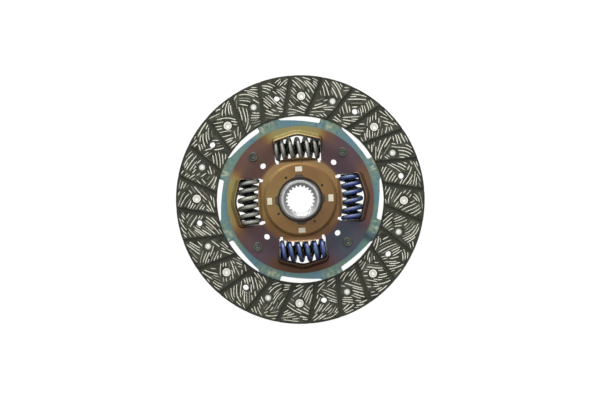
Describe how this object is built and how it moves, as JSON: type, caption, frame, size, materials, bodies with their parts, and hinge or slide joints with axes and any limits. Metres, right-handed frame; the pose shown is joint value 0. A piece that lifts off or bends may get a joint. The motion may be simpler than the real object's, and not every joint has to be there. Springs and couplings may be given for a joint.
{
  "type": "clutch disc",
  "caption": "Sprung clutch disc: grooved friction facings on a slotted cushion plate, two windowed plates and coil springs round a splined hub that turns a little against them.",
  "frame": {"origin": "on the hub axis, at the mid-plane of the cushion plate, half way between the two friction faces", "axes": "+Z along the hub axis towards the retaining plate and the longer hub barrel (gearbox side); +X and +Y are right and up when that side is looked at"},
  "size_m": [0.224, 0.224, 0.0305],
  "materials": {
    "friction_lining": "pressed yarn lining, matt, with pale fibre strokes",
    "pale_rivet": "pale plated tubular rivets, satin",
    "blued_spring_steel": "blue-green tempered spring steel",
    "hardened_plate": "case-hardened plate with golden to purple heat tint",
    "dark_steel": "dark phosphated steel",
    "hub_steel": "machined steel, lightly oiled",
    "spring_wire": "dark drawn spring wire, satin",
    "blued_spring_wire": "drawn spring wire with blue heat tint",
    "cream_resin": "moulded cream friction resin",
    "dark_resin": "moulded dark resin"
  },
  "bodies": {
    "hub": {"hub": "hub_steel"},
    "carrier": {"facing_front": "friction_lining", "facing_rear": "friction_lining", "facing_rivets_front": "pale_rivet", "facing_rivets_rear": "pale_rivet", "cushion_plate": "blued_spring_steel", "disc_plate": "hardened_plate", "retaining_plate": "hardened_plate", "stop_pins": "dark_steel", "friction_washer_front": "cream_resin", "friction_washer_rear": "dark_resin", "thrust_washer": "dark_steel", "cone_spring": "dark_steel", "hub_bush": "dark_resin", "rear_bush": "dark_resin"},
    "springs": {"torsion_spring_1": "spring_wire", "torsion_spring_2": "spring_wire", "torsion_spring_3": "blued_spring_wire", "torsion_spring_4": "blued_spring_wire", "inner_spring_1": "dark_steel", "inner_spring_2": "dark_steel", "inner_spring_3": "dark_steel", "inner_spring_4": "dark_steel"}
  },
  "joints": [
    {"name": "damper_twist", "type": "hinge", "parent": "hub", "child": "carrier", "pos_m": [0, 0, 0], "axis": [0, 0, 1], "range_deg": [-9, 9], "stiffness_Nm_per_rad": 1600, "deforming": ["torsion_spring_1", "torsion_spring_2", "torsion_spring_3", "torsion_spring_4", "inner_spring_1", "inner_spring_2", "inner_spring_3", "inner_spring_4"]},
    {"name": "spring_follow", "type": "hinge", "parent": "hub", "child": "springs", "pos_m": [0, 0, 0], "axis": [0, 0, 1], "range_deg": [-4.5, 4.5]}
  ],
  "couplings": [
    {"joint": "spring_follow", "follows": "damper_twist", "ratio": 0.5}
  ]
}
